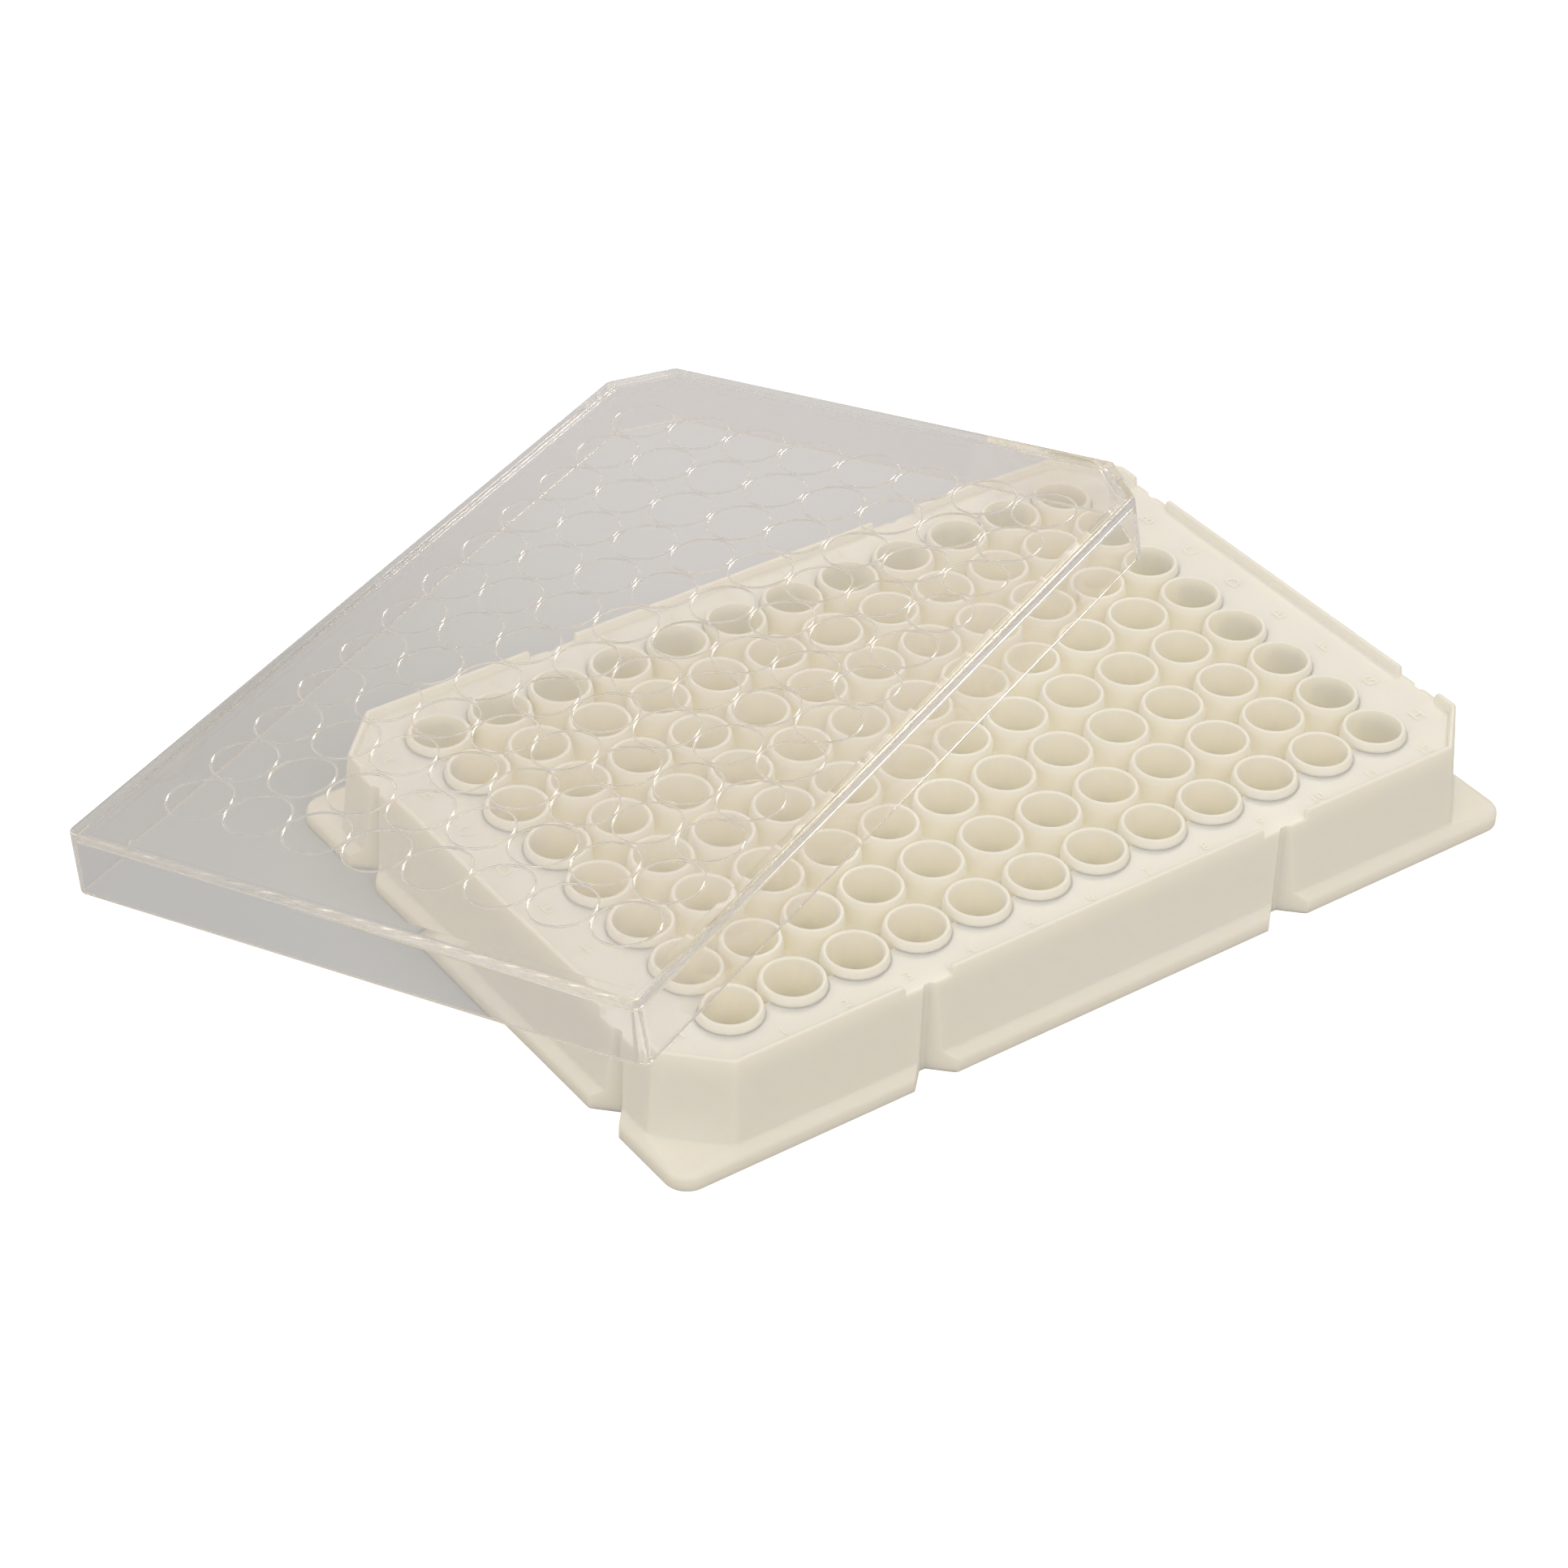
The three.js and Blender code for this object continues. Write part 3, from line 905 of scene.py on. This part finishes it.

# %% [markdown]
# ## The table
#
# The object lies on a plain table that curves up far away, so no edge shows behind it. On
# a catalogue page such a table is burnt out to white, yet a clear lid still shows it as
# grey. One even finish can't do both, so the table has three, and the kind of ray picks
# one. Seen directly it is white. Seen through the lid it is pale grey, with a painted
# shadow that darkens it towards the left, where the plate and the lid would shade it. The
# light that it throws on the plate is warm.

# %% Shape of the table
TABLE_HALF = 1.5
TABLE_SQUARES = 48
TABLE_FLAT_SHARE = 0.75
TABLE_RISE = 1.0


def build_table():
    bm = bmesh.new()
    squares = TABLE_SQUARES
    bmesh.ops.create_grid(bm, x_segments=squares, y_segments=squares, size=TABLE_HALF)
    for vert in bm.verts:
        beyond = max(vert.co.xy.length / TABLE_HALF - TABLE_FLAT_SHARE, 0.0)
        vert.co.z = TABLE_RISE * beyond ** 2
    mesh = bpy.data.meshes.new("table")
    bm.to_mesh(mesh)
    bm.free()
    mesh.shade_smooth()
    table = bpy.data.objects.new("table", mesh)
    bpy.context.scene.collection.objects.link(table)
    return table


table = build_table()
print("table half-width, m:", TABLE_HALF)

# %% Finish of the table
# Painted shadow: the grey seen through the lid is darker towards the left, as if the plate and
# the lid shaded it there.
TABLE_GREY_IN_PAINTED_SHADOW = (0.635, 0.68, 0.755, 1.0)
TABLE_PALE = (0.82, 0.865, 0.98, 1.0)
TABLE_SHADE_FROM = -0.055
TABLE_SHADE_TO = 0.045
TABLE_BOUNCE = (0.66, 0.63, 0.57, 1.0)
TABLE_BURNT_OUT = (0.94, 0.97, 1.0, 1.0)
TABLE_GLOW = 0.5


def add_mix(nodes, links, share, first, second):
    """A colour between two. Each is a socket or a plain colour."""
    mix = nodes.new("ShaderNodeMix")
    mix.data_type = "RGBA"
    links.new(share, mix.inputs["Factor"])
    for name, colour in (("A", first), ("B", second)):
        if isinstance(colour, tuple):
            mix.inputs[name].default_value = colour
        else:
            links.new(colour, mix.inputs[name])
    return mix.outputs["Result"]


# Painted shadow: the grey darkens towards the left along the table's x, in place of the shade
# of the plate and the lid.
def grey_with_painted_shadow(nodes, links):
    where = nodes.new("ShaderNodeTexCoord")
    across = nodes.new("ShaderNodeSeparateXYZ")
    links.new(where.outputs["Object"], across.inputs["Vector"])
    shade = nodes.new("ShaderNodeMapRange")
    shade.interpolation_type = "SMOOTHSTEP"
    shade.inputs["From Min"].default_value = TABLE_SHADE_FROM
    shade.inputs["From Max"].default_value = TABLE_SHADE_TO
    links.new(across.outputs["X"], shade.inputs["Value"])
    return add_mix(nodes, links, shade.outputs["Result"], TABLE_GREY_IN_PAINTED_SHADOW, TABLE_PALE)


def burnt_out_white(nodes, links):
    sheet = nodes.new("ShaderNodeBsdfDiffuse")
    sheet.inputs["Color"].default_value = TABLE_BURNT_OUT
    glow = nodes.new("ShaderNodeEmission")
    glow.inputs["Strength"].default_value = TABLE_GLOW
    both = nodes.new("ShaderNodeAddShader")
    links.new(sheet.outputs["BSDF"], both.inputs[0])
    links.new(glow.outputs["Emission"], both.inputs[1])
    return both.outputs["Shader"]


def table_finish():
    material, nodes, links, shader = new_material("matt_table")
    fleck = add_noise(nodes, links, 400.0, 2.0)
    spread = add_range(nodes, links, fleck.outputs["Fac"], 0.85, 0.95)
    links.new(spread.outputs["Result"], shader.inputs["Roughness"])
    path = nodes.new("ShaderNodeLightPath")
    grey = grey_with_painted_shadow(nodes, links)
    colour = add_mix(nodes, links, path.outputs["Is Diffuse Ray"], grey, TABLE_BOUNCE)
    links.new(colour, shader.inputs["Base Color"])
    shader.inputs["Specular IOR Level"].default_value = 0.1
    white = burnt_out_white(nodes, links)
    add_switch(nodes, links, path.outputs["Is Camera Ray"], shader.outputs["BSDF"], white)
    return material


table.data.materials.append(table_finish())
print("table finishes:", len(table.data.materials))

# %% [markdown]
# ## The lamps
#
# Three large soft lamps stand overhead, in front and on the left. The front one is the
# strongest, so the walls are lit and the deck is a little brighter than they are. A small
# fourth one stands behind on the right and only makes glints on the clear edges and rings.
# It lights no matt surface, because its hard shadow would show.

# %% Lamps
LIGHT_COLOUR = (1.0, 0.928, 0.805)
MIDDLE = (0.0, 0.0, 0.01)


def add_lamp(name, place, size, power):
    data = bpy.data.lights.new(name, "AREA")
    data.shape = "RECTANGLE"
    data.size, data.size_y = size
    data.energy = power
    data.color = LIGHT_COLOUR
    lamp = bpy.data.objects.new(name, data)
    lamp.location = place
    aim = (Vector(MIDDLE) - Vector(place)).to_track_quat("-Z", "Y")
    lamp.rotation_euler = aim.to_euler()
    bpy.context.scene.collection.objects.link(lamp)
    return lamp


lamps = [
    add_lamp("overhead_lamp", (0.1, 0.15, 1.3), (1.6, 1.3), 1.1),
    add_lamp("front_lamp", (0.1, -1.2, 1.2), (1.2, 0.9), 4.0),
    add_lamp("left_lamp", (-1.3, -0.5, 0.8), (0.9, 0.9), 2.1),
    add_lamp("glint_lamp", (0.66, 0.55, 0.838), (0.2, 0.2), 4.0),
]
lamps[-1].visible_diffuse = False
print("lamps:", len(lamps), "watts:", round(sum(lamp.data.energy for lamp in lamps), 1))

# %% [markdown]
# ## The room
#
# An even warm room fills the shadows between the wells. It could be left plain, but the
# edges of something clear only show as dark lines where they bend a dark thing into view.
# One patch of the room is therefore dark brown, like the gap between two soft lamps.

# %% Room
ROOM_STRENGTH = 0.69
PATCH_TOWARDS = (0.757, -0.128, 0.637)
PATCH_COLOUR = (0.10, 0.065, 0.04, 1.0)
PATCH_EDGE_STARTS = 21
PATCH_EDGE_ENDS = 14


def build_room():
    world = bpy.data.worlds.new("room")
    world.use_nodes = True
    nodes, links = world.node_tree.nodes, world.node_tree.links
    where = nodes.new("ShaderNodeTexCoord")
    angle = nodes.new("ShaderNodeVectorMath")
    angle.operation = "DOT_PRODUCT"
    angle.inputs[1].default_value = PATCH_TOWARDS
    links.new(where.outputs["Generated"], angle.inputs[0])
    edge = nodes.new("ShaderNodeMapRange")
    edge.interpolation_type = "SMOOTHSTEP"
    edge.inputs["From Min"].default_value = math.cos(math.radians(PATCH_EDGE_STARTS))
    edge.inputs["From Max"].default_value = math.cos(math.radians(PATCH_EDGE_ENDS))
    links.new(angle.outputs["Value"], edge.inputs["Value"])
    even = (*LIGHT_COLOUR, 1.0)
    colour = add_mix(nodes, links, edge.outputs["Result"], even, PATCH_COLOUR)
    background = nodes["Background"]
    background.inputs["Strength"].default_value = ROOM_STRENGTH
    links.new(colour, background.inputs["Color"])
    return world


scene = bpy.context.scene
scene.world = build_room()
print("room strength:", ROOM_STRENGTH)

# %% [markdown]
# ## How far light is followed
#
# Ninety-six rings and a double skin of clear plastic send light through many surfaces one
# after another. A path that is cut short turns black, so the limits are high.

# %% Bounces and tones
scene.view_settings.view_transform = "Standard"
scene.cycles.diffuse_bounces = 16
scene.cycles.glossy_bounces = 96
scene.cycles.transmission_bounces = 96
scene.cycles.max_bounces = 128
print("bounces:", scene.cycles.max_bounces)

# %% [markdown]
# ## The camera
#
# The camera stands half a metre away with a long lens, so the long sides of the plate
# hardly run together. It looks down on the plate over the corner nearest to it.

# %% Camera
CAMERA_PLACE = (-0.25688, -0.36535, 0.33100)
CAMERA_ANGLES = (53.367, -1.4272, -35.4352)
LENS = 99.06
SENSOR = 36.0
camera_data = bpy.data.cameras.new("camera")
camera_data.lens = LENS
camera_data.sensor_width = SENSOR
camera = bpy.data.objects.new("camera", camera_data)
camera.location = CAMERA_PLACE
camera.rotation_euler = [math.radians(angle) for angle in CAMERA_ANGLES]
scene.collection.objects.link(camera)
scene.camera = camera
print("camera is", round(Vector(CAMERA_PLACE).length, 3), "m from the middle of the object")
